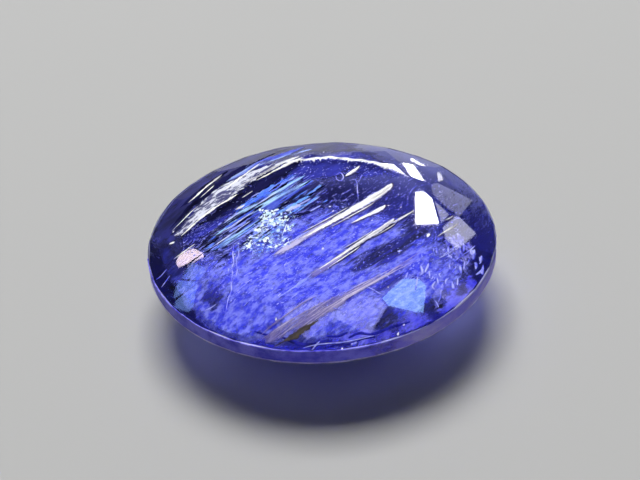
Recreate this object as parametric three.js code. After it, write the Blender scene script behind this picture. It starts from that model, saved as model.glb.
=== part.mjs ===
// A tanzanite gemstone: one crystal, cut and polished by hand as a shallow oval with a wide table.
// Millimetres, +Z up. The long axis lies along X and the origin is the centre of the small flat base.
//
// The stone is laid out round, facet by facet between the points where facets meet, and drawn in to an
// oval at the end. Drawing in keeps every facet flat.

import * as THREE from 'three';
import { mergeVertices } from 'three/addons/utils/BufferGeometryUtils.js';

// Outline and heights.
const LENGTH = 12.0;
const WIDTH = 10.4;
const PAVILION_DEPTH = 2.2;
const GIRDLE_HEIGHT = 0.52;
const CROWN_HEIGHT = 0.67;

// Mains stand in a ring of this many, above and below, and the first faces this many degrees from +X.
const MAINS = 16;
const FIRST_MAIN = -5.3;
const GIRDLE_FLATS_PER_FACET = 4;

// Distances from the axis where facets meet, on the round stone, as shares of its radius.
const TABLE_CORNER = 0.685;
const STAR_TIP = 0.745;
const MAIN_SHOULDER = 0.80;
const MAIN_TIP = 0.93;
const BASE_EDGE = 0.17;
const PAVILION_BREAK = 0.6;

// How many millimetres a crown main falls for each millimetre outwards. The stone was held by hand on the
// lap, so each main, in turn, faces a few degrees to one side and is a little steeper or flatter than others.
const CROWN_FALL = 0.335;
const TURNS = [-3, -1, 2, 3, -2, -3, 2, -2, 2, 3, 2, -2, 2, -2, -5, -5];
const STEEPNESS = [1, 1.03, 0.97, 1.02, 0.98, 1, 1.03, 0.97, 1.02, 1, 0.96, 1.03, 0.98, 1.03, 0.98, 1.02];

const RADIUS = LENGTH / 2;
const LOWER_EDGE = PAVILION_DEPTH;
const UPPER_EDGE = LOWER_EDGE + GIRDLE_HEIGHT;
const TABLE = UPPER_EDGE + CROWN_HEIGHT;
const PAVILION_FALL = -PAVILION_DEPTH / (RADIUS * (1 - BASE_EDGE));
const HEART = new THREE.Vector3(0, 0, (LOWER_EDGE + UPPER_EDGE) / 2);

// The mains' numbers, and the ones after and before each.
const RING = [...Array(MAINS).keys()];
const after = (k) => (k + 1) % MAINS;
const before = (k) => (k + MAINS - 1) % MAINS;

// A point at a share of the radius, an angle in radians and a height.
function spot(share, angle, height = 0) {
  return new THREE.Vector3(RADIUS * share * Math.cos(angle), RADIUS * share * Math.sin(angle), height);
}

// The angle of a point about the axis.
function angleOf(point) {
  return Math.atan2(point.y, point.x);
}

// The angle at a share of the way from one point to another, the short way round.
function angleBetween(from, to, share) {
  const turn = angleOf(to) - angleOf(from);
  return angleOf(from) + share * Math.atan2(Math.sin(turn), Math.cos(turn));
}

// The plane through three points.
function planeOf(a, b, c) {
  return new THREE.Plane().setFromCoplanarPoints(a, b, c);
}

// A main as a slope: through a point, falling as it goes outwards in the direction that it faces.
// A negative fall rises outwards, as the pavilion does.
function main(point, facing, fall) {
  const slope = new THREE.Vector2(fall * Math.cos(facing), fall * Math.sin(facing));
  return { point, slope, rise: point.z + slope.dot(point) };
}

// The point of a main above or below a point of the plan.
function onMain({ slope, rise }, point) {
  return new THREE.Vector3(point.x, point.y, rise - slope.dot(point));
}

// Where the ridge between two neighbouring mains passes a share of the radius.
function ridge(one, other, share) {
  const across = one.slope.clone().sub(other.slope);
  const foot = across.clone().multiplyScalar((one.rise - other.rise) / across.lengthSq());
  const along = new THREE.Vector2(-across.y, across.x).normalize();
  if (along.dot(one.point) < 0) along.negate();
  return onMain(one, foot.addScaledVector(along, Math.sqrt((share * RADIUS) ** 2 - foot.lengthSq())));
}

// Where the edge between two planes, on its way outwards from a point on both, meets the girdle.
function edgeEnd(point, planeA, planeB) {
  const along = planeA.normal.clone().cross(planeB.normal);
  if (along.dot(point.clone().setZ(0)) < 0) along.negate();
  const a = along.x ** 2 + along.y ** 2;
  const b = point.x * along.x + point.y * along.y;
  const c = point.x ** 2 + point.y ** 2 - RADIUS ** 2;
  return point.clone().addScaledVector(along, (-b + Math.sqrt(b * b - a * c)) / a);
}

// The girdle's points from one corner to the next, on the plane of the facet that ends there.
function girdleRun(from, to, plane) {
  const inner = Array.from({ length: GIRDLE_FLATS_PER_FACET - 1 }, (_, i) => {
    const point = spot(1, angleBetween(from, to, (i + 1) / GIRDLE_FLATS_PER_FACET));
    return point.setZ(-plane.distanceToPoint(point) / plane.normal.z);
  });
  return [from, ...inner, to];
}

// One flat facet, from its corners in turn, as triangles that face away from the heart of the stone.
function facet(first, ...rest) {
  const { normal } = planeOf(first, rest[0], rest.at(-1));
  const ring = first.clone().sub(HEART).dot(normal) > 0 ? rest : rest.reverse();
  return ring.slice(1).flatMap((corner, i) => [first, ring[i], corner]);
}

// The table, and for each main a star, the six-sided main itself, and a small facet on each side of its tip.
function cutCrown() {
  const mains = RING.map((k) => {
    const angle = THREE.MathUtils.degToRad(FIRST_MAIN + (k * 360) / MAINS);
    const facing = angle + THREE.MathUtils.degToRad(TURNS[k]);
    return main(spot(TABLE_CORNER, angle, TABLE), facing, CROWN_FALL * STEEPNESS[k]);
  });
  const corners = mains.map(({ point }) => point);
  const stars = RING.map((k) => ridge(mains[k], mains[after(k)], STAR_TIP));
  const shoulders = RING.map((k) => ridge(mains[k], mains[after(k)], MAIN_SHOULDER));
  const tips = RING.map((k) => {
    return onMain(mains[k], spot(MAIN_TIP, angleBetween(shoulders[before(k)], shoulders[k], 0.5)));
  });
  const rims = shoulders.map((shoulder) => spot(1, angleOf(shoulder), UPPER_EDGE));

  const early = RING.map((k) => planeOf(tips[k], shoulders[before(k)], rims[before(k)]));
  const late = RING.map((k) => planeOf(tips[k], shoulders[k], rims[k]));
  const ends = RING.map((k) => edgeEnd(tips[k], early[k], late[k]));
  const runs = RING.map((k) => {
    return [girdleRun(rims[before(k)], ends[k], early[k]), girdleRun(ends[k], rims[k], late[k])];
  });

  const triangles = [
    facet(...corners),
    RING.map((k) => facet(stars[k], corners[k], corners[after(k)])),
    RING.map((k) => {
      return facet(corners[k], stars[k], shoulders[k], tips[k], shoulders[before(k)], stars[before(k)]);
    }),
    RING.map((k) => facet(tips[k], shoulders[before(k)], ...runs[k][0])),
    RING.map((k) => facet(tips[k], ...runs[k][1], shoulders[k])),
  ];
  return { rims, ends, runs, triangles };
}

// The pavilion's mains run from the small base up to the girdle, each straight below the end of a crown
// main's edge, with a small facet on each side of them along the girdle.
function cutPavilion(crown) {
  const ends = crown.ends.map((end) => end.clone().setZ(LOWER_EDGE));
  const rims = crown.rims.map((rim) => rim.clone().setZ(LOWER_EDGE));
  const mains = ends.map((end) => main(end, angleOf(end), PAVILION_FALL));
  const shoulders = RING.map((k) => ridge(mains[k], mains[after(k)], PAVILION_BREAK));
  const baseCorners = RING.map((k) => {
    const angle = angleBetween(ends[k], ends[after(k)], 0.5);
    return spot(BASE_EDGE / Math.cos(angle - angleOf(ends[k])), angle);
  });
  const runs = RING.map((k) => {
    const early = planeOf(ends[k], shoulders[before(k)], rims[before(k)]);
    const late = planeOf(ends[k], shoulders[k], rims[k]);
    return [girdleRun(rims[before(k)], ends[k], early), girdleRun(ends[k], rims[k], late)];
  });

  const triangles = [
    facet(...baseCorners),
    RING.map((k) => {
      return facet(ends[k], shoulders[before(k)], baseCorners[before(k)], baseCorners[k], shoulders[k]);
    }),
    RING.map((k) => facet(shoulders[before(k)], ...runs[k][0])),
    RING.map((k) => facet(shoulders[k], ...runs[k][1])),
  ];
  return { runs, triangles };
}

// The upright wall between the crown's girdle points and the pavilion's.
function cutGirdle(crown, pavilion) {
  const upper = crown.runs.flat();
  const lower = pavilion.runs.flat();
  return upper.map((run, i) => {
    return run.slice(1).map((point, j) => facet(point, run[j], lower[i][j], lower[i][j + 1]));
  });
}

// The whole stone, from its triangles' corners, drawn in from round to oval.
function stoneGeometry() {
  const crown = cutCrown();
  const pavilion = cutPavilion(crown);
  const corners = [crown.triangles, cutGirdle(crown, pavilion), pavilion.triangles].flat(Infinity);
  const geometry = mergeVertices(new THREE.BufferGeometry().setFromPoints(corners));
  geometry.scale(1, WIDTH / LENGTH, 1);
  geometry.computeVertexNormals();
  return geometry;
}

// Clear blue-violet crystal with a glassy polish.
function tanzaniteMaterial() {
  return new THREE.MeshStandardMaterial({
    color: 0x6469b4,
    roughness: 0.08,
    metalness: 0,
    transparent: true,
    opacity: 0.6,
    flatShading: true,
  });
}

const tanzanite = new THREE.Mesh(stoneGeometry(), tanzaniteMaterial());
tanzanite.name = 'tanzanite';

const gemstone = new THREE.Group();
gemstone.add(tanzanite);

export default gemstone;
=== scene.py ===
import math

import bmesh
import bpy
import numpy as np
from mathutils import Matrix, Quaternion, Vector


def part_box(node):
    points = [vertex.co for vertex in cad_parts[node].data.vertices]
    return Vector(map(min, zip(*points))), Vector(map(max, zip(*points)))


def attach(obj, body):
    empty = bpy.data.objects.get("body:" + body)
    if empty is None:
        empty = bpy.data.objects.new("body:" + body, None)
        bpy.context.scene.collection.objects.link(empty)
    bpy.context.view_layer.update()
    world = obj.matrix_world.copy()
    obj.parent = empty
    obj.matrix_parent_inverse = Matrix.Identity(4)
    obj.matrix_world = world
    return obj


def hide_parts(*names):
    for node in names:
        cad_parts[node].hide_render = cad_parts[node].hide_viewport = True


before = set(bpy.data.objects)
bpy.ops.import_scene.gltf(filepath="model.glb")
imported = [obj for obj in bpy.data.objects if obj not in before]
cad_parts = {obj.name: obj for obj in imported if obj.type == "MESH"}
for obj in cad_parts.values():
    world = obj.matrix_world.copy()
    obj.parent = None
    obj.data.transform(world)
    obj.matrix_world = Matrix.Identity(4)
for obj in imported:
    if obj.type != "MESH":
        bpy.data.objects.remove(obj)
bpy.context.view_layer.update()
MM = 0.001

# --------------------
# The camera: a close-up from in front, a little under half way up from the table to overhead.
# It stands eight half-lengths of the stone away, so the far side looks a little smaller.
stone_low, stone_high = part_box("tanzanite")
CAMERA_ELEVATION = math.radians(43.5)
CAMERA_TURN = math.radians(2.0)
CAMERA_ROLL = math.radians(-4.5)
CAMERA_DISTANCE = 8.0 * ((stone_high.x - stone_low.x) / 2)
LENS = 78.3
AIM_HEIGHT_SHARE = 0.79
AIM_SHIFT = 0.045

forward = Vector((-math.sin(CAMERA_TURN) * math.cos(CAMERA_ELEVATION),
                  math.cos(CAMERA_TURN) * math.cos(CAMERA_ELEVATION),
                  -math.sin(CAMERA_ELEVATION)))
level = Vector((math.cos(CAMERA_TURN), math.sin(CAMERA_TURN), 0.0))
upward = level.cross(forward)
right = level * math.cos(CAMERA_ROLL) + upward * math.sin(CAMERA_ROLL)
above = upward * math.cos(CAMERA_ROLL) - level * math.sin(CAMERA_ROLL)
target = Vector((0.0, 0.0, stone_low.z + (stone_high.z - stone_low.z) * AIM_HEIGHT_SHARE))
target -= right * AIM_SHIFT * MM
eye = target - forward * CAMERA_DISTANCE


def new_object(name, data):
    """An object made from its data and put in the scene."""
    made = bpy.data.objects.new(name, data)
    bpy.context.scene.collection.objects.link(made)
    return made


camera_data = bpy.data.cameras.new("camera")
camera_data.lens = LENS
camera_data.clip_start = 0.001
camera_data.clip_end = 2.0
camera = new_object("camera", camera_data)
camera.matrix_world = Matrix.Translation(eye) @ Matrix((right, above, -forward)).transposed().to_4x4()
bpy.context.scene.camera = camera
bpy.context.scene.view_settings.view_transform = "Standard"

# --------------------
# The studio: a plain pale floor and soft light. Nothing here belongs to the stone. The floor lies
# a hair under the base, as under any stone that rests on a few dust grains.
FLOOR_HALF = 0.3
FLOOR_GAP = 0.03 * MM
floor_corners = [(x * FLOOR_HALF, y * FLOOR_HALF, -FLOOR_GAP)
                 for x, y in ((-1, -1), (1, -1), (1, 1), (-1, 1))]
floor_mesh = bpy.data.meshes.new("floor")
floor_mesh.from_pydata(floor_corners, [], [(0, 1, 2, 3)])
floor = new_object("floor", floor_mesh)
floor_material = bpy.data.materials.new("pale_floor")
floor_material.use_nodes = True
floor_shader = floor_material.node_tree.nodes["Principled BSDF"]
floor_shader.inputs["Base Color"].default_value = (0.44, 0.44, 0.435, 1)
floor_shader.inputs["Roughness"].default_value = 0.9
floor.data.materials.append(floor_material)

world = bpy.data.worlds.new("studio")
world.use_nodes = True
world.node_tree.nodes["Background"].inputs["Color"].default_value = (0.8, 0.82, 0.86, 1)
world.node_tree.nodes["Background"].inputs["Strength"].default_value = 0.09
bpy.context.scene.world = world


def area_light(name, place, away, width, height, roll, radiance, colour, unseen_by):
    """A rectangular light at a place, its back turned away from the stone, radiance in W/m2/sr. The rays
    named in unseen_by don't meet it."""
    data = bpy.data.lights.new(name, "AREA")
    data.shape = "RECTANGLE"
    data.size, data.size_y = width, height
    data.energy = radiance * math.pi * width * height
    data.color = colour
    light = new_object(name, data)
    turn = away.to_track_quat("Z", "Y") @ Quaternion((0, 0, 1), math.radians(roll))
    light.matrix_world = Matrix.Translation(place) @ turn.to_matrix().to_4x4()
    for rays in unseen_by:
        setattr(light, "visible_" + rays, False)


# Soft boxes that face the stone: name, compass angle, height angle, width, height, radiance, colour, and
# the rays that don't see them.
BOX_DISTANCE = 0.35
WHITE = (1.0, 1.0, 1.0)
SOFT_BOXES = (
    ("key", 95, 64, 0.2, 0.16, 16.5, WHITE, ("glossy", "transmission")),
    ("inner_box", 90, 74, 0.4, 0.34, 12.5, WHITE, ("diffuse", "glossy")),
    ("back_box", 95, 30, 0.9, 0.26, 2.8, (1.0, 0.96, 0.85), ("diffuse", "glossy")),
    ("front_box", 315, 28, 0.2, 0.14, 2.2, WHITE, ("diffuse",)),
    ("rim_strip", 92, 31, 0.14, 0.06, 7.0, WHITE, ("diffuse", "transmission")),
    ("rear_card", 78, 4, 0.48, 0.1, 0.12, WHITE, ("diffuse", "transmission")),
)
for name, compass, height, width, tall, radiance, colour, unseen_by in SOFT_BOXES:
    turn, rise = math.radians(compass), math.radians(height)
    away = Vector((math.cos(turn) * math.cos(rise), math.sin(turn) * math.cos(rise), math.sin(rise)))
    area_light(name, target + away * BOX_DISTANCE, away, width, tall, 0, radiance, colour, unseen_by)

# Small cards, each standing where the facet over a point of the plan, in mm, mirrors it to the camera:
# name, x, y, width, height, radiance, colour, roll in degrees and distance.
SKY_BLUE = (0.33, 0.6, 1.0)
DEEP_BLUE = (0.26, 0.42, 1.0)
VIOLET = (0.55, 0.55, 1.0)
MIRRORED_CARDS = (
    ("window", 3.69, 0.56, 0.0058, 0.008, 25.0, WHITE, 0, 0.3),
    ("sliver", 3.3, 2.86, 0.012, 0.002, 20.0, WHITE, -34, 0.3),
    ("sliver_start", 2.63, 2.81, 0.02, 0.01, 20.0, WHITE, -34, 0.3),
    ("second_sliver", 3.58, 3.44, 0.0034, 0.00012, 14.0, WHITE, -8, 0.06),
    ("corner", 4.26, 2.52, 0.002, 0.0014, 5.0, WHITE, -30, 0.3),
    ("blue_card", 2.9, -3.3, 0.03, 0.03, 6.6, SKY_BLUE, 0, 0.3),
    ("left_blue_card", -4.22, -2.22, 0.01, 0.008, 4.0, DEEP_BLUE, 0, 0.3),
    ("left_blue_card_end", -4.45, -2.6, 0.008, 0.005, 4.0, DEEP_BLUE, 0, 0.3),
    ("left_blue_top", -4.3, -1.9, 0.006, 0.004, 3.0, DEEP_BLUE, 0, 0.3),
    ("pink_card", -4.42, -1.03, 0.0075, 0.003, 11.0, (1.0, 0.8, 0.86), -39, 0.3),
    ("grey_card", 4.59, 1.23, 0.03, 0.03, 1.3, WHITE, 0, 0.3),
    ("grey_card_end", 4.38, 0.23, 0.02, 0.02, 3.0, WHITE, 0, 0.3),
    ("lilac_card", 4.96, -0.1, 0.0066, 0.0115, 4.4, (0.9, 0.9, 1.0), 0, 0.3),
    ("right_card", 4.37, -2.94, 0.02, 0.02, 1.2, (0.72, 0.68, 1.0), 0, 0.3),
    ("front_card", 1.42, -3.97, 0.045, 0.04, 3.0, VIOLET, 0, 0.3),
    ("front_left_card", -0.44, -4.14, 0.04, 0.04, 3.0, VIOLET, 0, 0.3),
)
DOWN = Vector((0, 0, -1))
cad_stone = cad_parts["tanzanite"]
bpy.context.view_layer.update()
for name, x, y, width, height, radiance, colour, roll, distance in MIRRORED_CARDS:
    _, spot, normal, _ = cad_stone.ray_cast(Vector((x * MM, y * MM, 1)), DOWN)
    away = (spot - eye).normalized().reflect(normal)
    area_light(name, spot + away * distance, away, width, height, roll, radiance, colour,
               ("diffuse", "transmission"))

# --------------------
# The stone: one tanzanite crystal, ground flat facet by facet on a lap and polished by hand.
# Years of wear have rounded the lines where the facets meet. The pavilion kept a fine grain from
# grinding, which breaks up the light inside.
WORN_EDGE = 0.035
SAME_POINT = 0.004
FLAT_ANGLE = math.radians(0.7)


def worn_copy(node, name):
    """A copy of a CAD node with its triangles joined into whole facets and every edge rounded."""
    mesh = node.data.copy()
    mesh.name = name
    mesh.materials.clear()
    b = bmesh.new()
    b.from_mesh(mesh)
    bmesh.ops.scale(b, vec=(1 / MM,) * 3, verts=b.verts)
    bmesh.ops.remove_doubles(b, verts=b.verts, dist=SAME_POINT)
    bmesh.ops.dissolve_limit(b, angle_limit=FLAT_ANGLE, verts=b.verts, edges=b.edges)
    edges = [e for e in b.edges if e.calc_face_angle(0) > FLAT_ANGLE]
    bmesh.ops.bevel(b, geom=edges, offset=WORN_EDGE, segments=2, profile=0.5,
                    affect="EDGES", clamp_overlap=True)
    bmesh.ops.scale(b, vec=(MM,) * 3, verts=b.verts)
    b.to_mesh(mesh)
    b.free()
    return new_object(name, mesh)


stone = worn_copy(cad_stone, "stone")

# Roughness by height: the ground pavilion, the duller girdle and the polished crown, in mm up the stone.
FINISH_SPAN = 4
LOWER_GIRDLE = 2.2
UPPER_GIRDLE = 2.72
FINISHES = ((0.0, 0.12), (LOWER_GIRDLE, 0.4), (UPPER_GIRDLE, 0.02))
GRINDING_DEPTH = 0.05


def add_node(nodes, kind, group=None, **values):
    """A shader node of a kind, or a placed node group, with the values given for its sockets. A name has
    an underscore for each space in the socket's."""
    node = nodes.new("ShaderNode" + kind)
    if group:
        node.node_tree = group
    for socket, value in values.items():
        node.inputs[socket.replace("_", " ")].default_value = value
    return node


def wire(links, *wires):
    """Links, each from a node and its output to a node and its input."""
    for giver, output, taker, socket in wires:
        links.new(giver.outputs[output], taker.inputs[socket])


stone_material = bpy.data.materials.new("tanzanite_crystal")
stone_material.use_nodes = True
nodes = stone_material.node_tree.nodes
shader = nodes["Principled BSDF"]
shader.inputs["Base Color"].default_value = (0.38, 0.41, 0.87, 1)
shader.inputs["IOR"].default_value = 1.69
shader.inputs["Transmission Weight"].default_value = 1.0
where = add_node(nodes, "TexCoord")
axes = add_node(nodes, "SeparateXYZ")
under_girdle = add_node(nodes, "MapRange", From_Min=(UPPER_GIRDLE + 0.01) * MM,
                        From_Max=(UPPER_GIRDLE - 0.05) * MM)
finish = add_node(nodes, "ValToRGB")
finish.color_ramp.interpolation = "CONSTANT"
stops = finish.color_ramp.elements
stops.new(UPPER_GIRDLE / FINISH_SPAN)
for stop, (height, tone) in zip(stops, FINISHES):
    stop.position = height / FINISH_SPAN
    stop.color = (tone, tone, tone, 1)
share_up = add_node(nodes, "Math")
share_up.operation = "DIVIDE"
share_up.inputs[1].default_value = FINISH_SPAN * MM
grain = add_node(nodes, "TexNoise", Scale=2600.0, Detail=4.0)
ground = add_node(nodes, "Math")
ground.operation = "MULTIPLY"
bump = add_node(nodes, "Bump", Distance=GRINDING_DEPTH * MM)
absorption = add_node(nodes, "VolumeAbsorption", Color=(0.22, 0.22, 0.92, 1), Density=330.0)
wire(stone_material.node_tree.links,
     (where, "Object", axes, "Vector"),
     (axes, "Z", under_girdle, "Value"),
     (axes, "Z", share_up, 0),
     (share_up, "Value", finish, "Fac"),
     (finish, "Color", shader, "Roughness"),
     (where, "Object", grain, "Vector"),
     (grain, "Fac", ground, 0),
     (under_girdle, "Result", ground, 1),
     (ground, "Value", bump, "Height"),
     (bump, "Normal", shader, "Normal"),
     (absorption, "Volume", nodes["Material Output"], "Volume"))
stone.data.materials.append(stone_material)
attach(stone, "root")
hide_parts("tanzanite")

# --------------------
# White growth tubes: long hollow channels that the crystal grew around, filled with pale clay.
# All lie along the crystal's own length. The table cuts the largest of them open. A thin dark
# skin under each, a little wider and shifted towards the front, is a painted shadow line beside it.
GRAIN = math.radians(39.0)
GRAIN_X, GRAIN_Y = math.cos(GRAIN), math.sin(GRAIN)
cad_mesh = cad_stone.data
facets = np.array([(*p.normal, p.normal.dot(p.center) / MM) for p in cad_mesh.polygons])
facets = np.unique(np.round(facets, 4), axis=0)
crown_facets = facets[facets[:, 2] > 0.5]


def under_crown(x, y, depth):
    """Points at a depth below the crown, in mm. The crown is convex, so over any place of the plan its
    height is the lowest one that the planes of its facets give there."""
    normals, reach = crown_facets[:, :3], crown_facets[:, 3]
    slopes = np.multiply.outer(x, normals[:, 0]), np.multiply.outer(y, normals[:, 1])
    heights = (reach - slopes[0] - slopes[1]) / normals[:, 2]
    return np.stack([x, y, heights.min(axis=-1) - depth], axis=-1)


def in_crystal(along, across, depth):
    """Points from distances along and across the grain in plan, and a depth under the crown, in mm."""
    along, across, depth = np.broadcast_arrays(along, across, depth)
    return under_crown(along * GRAIN_X - across * GRAIN_Y, along * GRAIN_Y + across * GRAIN_X, depth)


def ring_piece(name, rings, material, fade=None):
    """One mesh of closed shapes. Rings have the shape (shapes, stations, points, 3), in mm: each shape
    joins its rings by quads, and a point in the middle of its first and last ring closes the ends."""
    shapes, stations, around, _ = rings.shape
    ends = rings[:, [0, -1]].mean(axis=2)
    points = np.concatenate([rings.reshape(shapes, -1, 3), ends], axis=1)
    i, j = np.meshgrid(np.arange(stations - 1), np.arange(around), indexing="ij")
    here, beside = i * around + j, i * around + (j + 1) % around
    walls = np.stack([here, beside, beside + around, here + around], axis=-1).reshape(-1, 4)
    j = np.arange(around)
    first, last = stations * around, stations * around + 1
    rim = (stations - 1) * around
    caps = np.concatenate([np.stack([(j + 1) % around, j, j * 0 + first], axis=-1),
                           np.stack([rim + j, rim + (j + 1) % around, j * 0 + last], axis=-1)])
    offsets = np.arange(shapes)[:, None, None] * points.shape[1]
    faces = (walls + offsets).reshape(-1, 4).tolist() + (caps + offsets).reshape(-1, 3).tolist()
    mesh = bpy.data.meshes.new(name)
    mesh.from_pydata((points.reshape(-1, 3) * MM).tolist(), [], faces)
    mesh.materials.append(material)
    b = bmesh.new()
    b.from_mesh(mesh)
    bmesh.ops.recalc_face_normals(b, faces=b.faces)
    b.to_mesh(mesh)
    b.free()
    if fade is not None:
        values = np.concatenate([fade.reshape(shapes, -1), np.zeros((shapes, 2))], axis=1)
        mesh.attributes.new("fade", "FLOAT", "POINT").data.foreach_set("value", values.ravel())
    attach(new_object(name, mesh), "root")


def turn_angles(count):
    """Angles once round a section, in equal steps."""
    return np.linspace(0, 2 * math.pi, count, endpoint=False)


BLADE_SIDES = 8
BLADE_SWAY = 0.2


def blades(rows, thickness, depth, ragged, seed, stations=60, slant=0.0,
           cycles=(0.9, 2.1, 4.3, 9.1, 14.3)):
    """Rings of flat blades along the grain, one for each row of start, end, across at the start and at
    the end, full width, and where it is widest as a share of its length. The half width grows as the
    power 0.7 of the way to the widest place and falls off as a quarter ellipse after it, times one plus
    a few sines of random phase, of the cycles given for each millimetre. The section is an ellipse. Slant
    cuts the far end off aslant: it moves the middle line sideways by that share of the width lost there."""
    start, end, across_a, across_b, width, peak = (np.array(c)[:, None] for c in zip(*rows))
    rng = np.random.default_rng(seed)
    t = np.linspace(0.001, 0.999, stations)[None, :]
    rise = (t / peak) ** 0.7
    fall = np.sqrt(np.clip(1 - ((t - peak) / (1 - peak)) ** 2, 0, 1))
    taper = np.where(t < peak, rise, fall)
    length = end - start
    wobble = np.zeros((len(rows), 2, stations))
    for rate in cycles:
        phase = rng.uniform(0, 2 * math.pi, (len(rows), 2, 1))
        wobble += np.sin(2 * math.pi * rate * (t * length)[:, None] + phase) / (1 + rate) ** 0.5
    half = width / 2 * taper * (1 + ragged * wobble[:, 0])
    sway = BLADE_SWAY * ragged * width * wobble[:, 1] + slant * width / 2 * np.where(t < peak, 0, 1 - taper)
    angle = turn_angles(BLADE_SIDES)
    along = (start + length * t)[..., None] + 0 * angle
    across = (across_a + (across_b - across_a) * t + sway)[..., None] + half[..., None] * np.cos(angle)
    below = depth + thickness / 2 * taper[..., None] * (1 - np.sin(angle))
    return in_crystal(along, across, below)


def node_group(name, inputs, outputs):
    """An empty shader node group with the named sockets given, and its nodes, links, input and output."""
    group = bpy.data.node_groups.new(name, "ShaderNodeTree")
    for in_out, sockets in (("INPUT", inputs), ("OUTPUT", outputs)):
        for socket, kind in sockets.items():
            group.interface.new_socket(socket, in_out=in_out, socket_type="NodeSocket" + kind)
    nodes = group.nodes
    return group, nodes, group.links, nodes.new("NodeGroupInput"), nodes.new("NodeGroupOutput")


# Noise drawn out along the grain. Its mask is 0 at Low, 1 at High and goes on beyond both.
GRAIN_INPUTS = {"Scale": "Float", "Stretch": "Vector", "Low": "Float", "High": "Float"}
along_grain, nodes, links, given, put_out = node_group(
    "along_grain", {**GRAIN_INPUTS, "Dark": "Color", "Light": "Color"}, {"Mask": "Float", "Tones": "Color"})
where = add_node(nodes, "TexCoord")
turned = add_node(nodes, "Mapping", Rotation=(0, 0, GRAIN))
turned.vector_type = "TEXTURE"
noise = add_node(nodes, "TexNoise", Detail=8.0, Roughness=0.68)
spread = add_node(nodes, "MapRange")
spread.clamp = False
tones = add_node(nodes, "Mix")
tones.data_type = "RGBA"
wire(links,
     (where, "Object", turned, "Vector"),
     (given, "Stretch", turned, "Scale"),
     (turned, "Vector", noise, "Vector"),
     (given, "Scale", noise, "Scale"),
     (noise, "Fac", spread, "Value"),
     (given, "Low", spread, "From Min"),
     (given, "High", spread, "From Max"),
     (spread, "Result", put_out, "Mask"),
     (spread, "Result", tones, "Factor"),
     (given, "Dark", tones, "A"),
     (given, "Light", tones, "B"),
     (tones, "Result", put_out, "Tones"))


def mineral(name, light, dark, scale, stretch=1, low=0.4, high=0.6, shine=0.3):
    """A dull mineral in two tones that run along the grain."""
    material = bpy.data.materials.new(name)
    material.use_nodes = True
    nodes = material.node_tree.nodes
    shader = nodes["Principled BSDF"]
    streaks = add_node(nodes, "Group", along_grain, Scale=scale, Stretch=(stretch, 1, 1), Low=low, High=high,
                       Dark=(*dark, 1), Light=(*light, 1))
    wire(material.node_tree.links, (streaks, "Tones", shader, "Base Color"))
    shader.inputs["Roughness"].default_value = 0.5
    shader.inputs["Specular IOR Level"].default_value = shine
    return material


OPEN_TUBES = (
    (-0.9, 3.2, -0.08, -0.25, 0.34, 0.76),
    (0.8, 2.28, -0.66, -0.85, 0.18, 0.75),
    (-1.4, 2.05, -1.61, -1.56, 0.19, 0.78),
    (1.7, 2.8, -1.6, -1.7, 0.09, 0.3),
    (2.27, 3.01, 1.32, 1.34, 0.15, 0.25),
    (2.49, 3.55, -3.16, -3.05, 0.06, 0.5),
    (3.25, 3.68, -2.73, -2.71, 0.06, 0.5),
    (-0.7, 1.3, 0.14, 0.0, 0.05, 0.5),
    (0.2, 2.1, -0.33, -0.44, 0.05, 0.6),
    (-1.1, 0.3, -1.76, -1.74, 0.05, 0.4),
    (-0.2, 1.1, -1.44, -1.46, 0.04, 0.6),
    (0.9, 1.9, -1.7, -1.74, 0.04, 0.5),
)
# Painted shadow lines: a dark blade under each tube, wider by a margin and shifted across the grain towards
# the front.
SHADOW_MARGIN = 0.06
SHADOW_SHIFT = -0.015
TUBE_SHADOWS = [(start - SHADOW_MARGIN, end + SHADOW_MARGIN, a + SHADOW_SHIFT, b + SHADOW_SHIFT, width + SHADOW_MARGIN, peak)
              for start, end, a, b, width, peak in OPEN_TUBES]
TUBE_FORM = {"ragged": 0.13, "seed": 3, "stations": 150, "slant": 0.9, "cycles": (1.3, 3.7, 6.1, 9.7)}
clay = mineral("pale_clay", (0.93, 0.93, 0.89), (0.34, 0.32, 0.38), scale=4200, stretch=9, low=0.36, high=0.5)
painted_tube_shadow = mineral("painted_tube_shadow", (0.24, 0.16, 0.2), (0.03, 0.02, 0.05), scale=1500, stretch=3)
ring_piece("white_tubes", blades(OPEN_TUBES, thickness=0.03, depth=-0.006, **TUBE_FORM), clay)
ring_piece("tube_shadow_lines", blades(TUBE_SHADOWS, thickness=0.05, depth=0.004, **TUBE_FORM), painted_tube_shadow)

# --------------------
# Veils: thin lilac trails of the clay that run on from two of the tubes, in cracks that healed as
# the crystal grew. A veil covers what lies under it in patches and frays out at its rim.
FILM_STATIONS = 90
FILM_SIDES = 28


def film_piece(name, material, start, end, low, high, depth, thickness=0.01, ragged=0.0, seed=0,
               soft=(4, 4), tips=(0.4, 0.4)):
    """A closed thin film along the grain between a low and a high edge, each a short list of (along,
    across) joined by straight lines and roughened by random steps. Its fade is 1 in the middle and falls
    to 0 at the rim, as one minus a power of the way out, one power for the low edge and one for the high,
    and over the tips at both ends."""
    along = np.linspace(start, end, FILM_STATIONS)
    rough = ragged * np.random.default_rng(seed).uniform(-1, 1, (2, FILM_STATIONS))
    lower = np.interp(along, *zip(*low)) + rough[0]
    upper = np.maximum(np.interp(along, *zip(*high)) + rough[1], lower + 0.01)
    angle = turn_angles(FILM_SIDES)
    out = np.cos(angle)
    across = (lower + upper)[:, None] / 2 + (upper - lower)[:, None] / 2 * out
    rings = in_crystal(along[:, None], across, depth + thickness / 2 * (1 - np.sin(angle)))
    ends = np.clip(np.minimum((along - start) / tips[0], (end - along) / tips[1]), 0, 1)
    fade = (1 - np.abs(out) ** np.where(out < 0, *soft)) * ends[:, None]
    ring_piece(name, rings[None], material, fade[None])


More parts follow.
